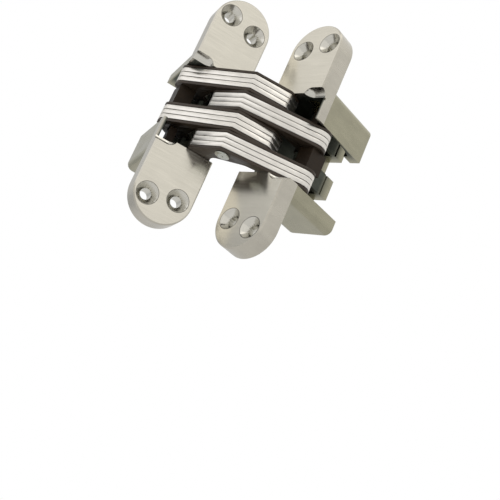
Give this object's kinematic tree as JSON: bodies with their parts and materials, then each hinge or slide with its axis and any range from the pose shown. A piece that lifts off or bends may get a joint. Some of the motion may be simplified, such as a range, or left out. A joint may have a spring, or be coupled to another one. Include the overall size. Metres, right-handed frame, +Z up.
{
  "type": "concealed door hinge",
  "caption": "Concealed door hinge with two mortised leaves joined by crossing laminated links that fold into the leaves as the door closes.",
  "frame": {"origin": "middle of the frame leaf's face plate, on its face", "axes": "+Z up along the leaves, +Y into the door frame behind the frame leaf, +X across the face towards the side where the leaves fold together"},
  "size_m": [0.0891, 0.0735, 0.1174],
  "materials": {
    "satin_nickel": "satin nickel plating on a casting, finely brushed face",
    "polished_steel": "bright ground edges",
    "bright_steel": "polished",
    "brown_block": "dark brown, satin",
    "pin_steel": "satin"
  },
  "bodies": {
    "frame_leaf": {"frame_casting": "satin_nickel", "frame_pivot_pin": "pin_steel"},
    "frame_links": {"frame_link_top": "polished_steel", "frame_link_bottom": "polished_steel", "centre_rivet": "bright_steel"},
    "door_links": {"door_link_top": "polished_steel", "door_link_bottom": "polished_steel"},
    "door_leaf": {"door_casting": "satin_nickel", "door_pivot_pin": "pin_steel"},
    "frame_slider": {"frame_slider_pin": "pin_steel", "frame_slider_block_open": "brown_block", "frame_slider_block_walled": "brown_block"},
    "door_slider": {"door_slider_pin": "pin_steel", "door_slider_block_open": "brown_block", "door_slider_block_walled": "brown_block"}
  },
  "joints": [
    {"name": "frame_short_arm_pivot", "type": "hinge", "parent": "frame_leaf", "child": "frame_links", "pos_m": [0.0101, 0.0073, 0], "axis": [0, 0, 1], "range_deg": [-77.5, 42.24]},
    {"name": "link_crossing", "type": "hinge", "parent": "frame_links", "child": "door_links", "pos_m": [0.01316, -0.0133, 0], "axis": [0, 0, 1], "range_deg": [-20.99, 38.5]},
    {"name": "door_short_arm_pivot", "type": "hinge", "parent": "door_links", "child": "door_leaf", "pos_m": [0.03297, -0.00685, 0], "axis": [0, 0, 1], "range_deg": [-77.5, 42.24]},
    {"name": "frame_slider_pivot", "type": "hinge", "parent": "door_links", "child": "frame_slider", "pos_m": [-0.00621, 0.01643, 0], "axis": [0, 0, 1], "range_deg": [-21.26, 39]},
    {"name": "door_slider_pivot", "type": "hinge", "parent": "frame_links", "child": "door_slider", "pos_m": [0.04842, -0.01738, 0], "axis": [0, 0, 1], "range_deg": [-39, 21.26]}
  ],
  "couplings": [
    {"joint": "link_crossing", "follows": "frame_short_arm_pivot", "ratio": -0.49677},
    {"joint": "door_short_arm_pivot", "follows": "frame_short_arm_pivot", "ratio": 1},
    {"joint": "frame_slider_pivot", "follows": "frame_short_arm_pivot", "ratio": -0.50323},
    {"joint": "door_slider_pivot", "follows": "frame_short_arm_pivot", "ratio": 0.50323}
  ]
}
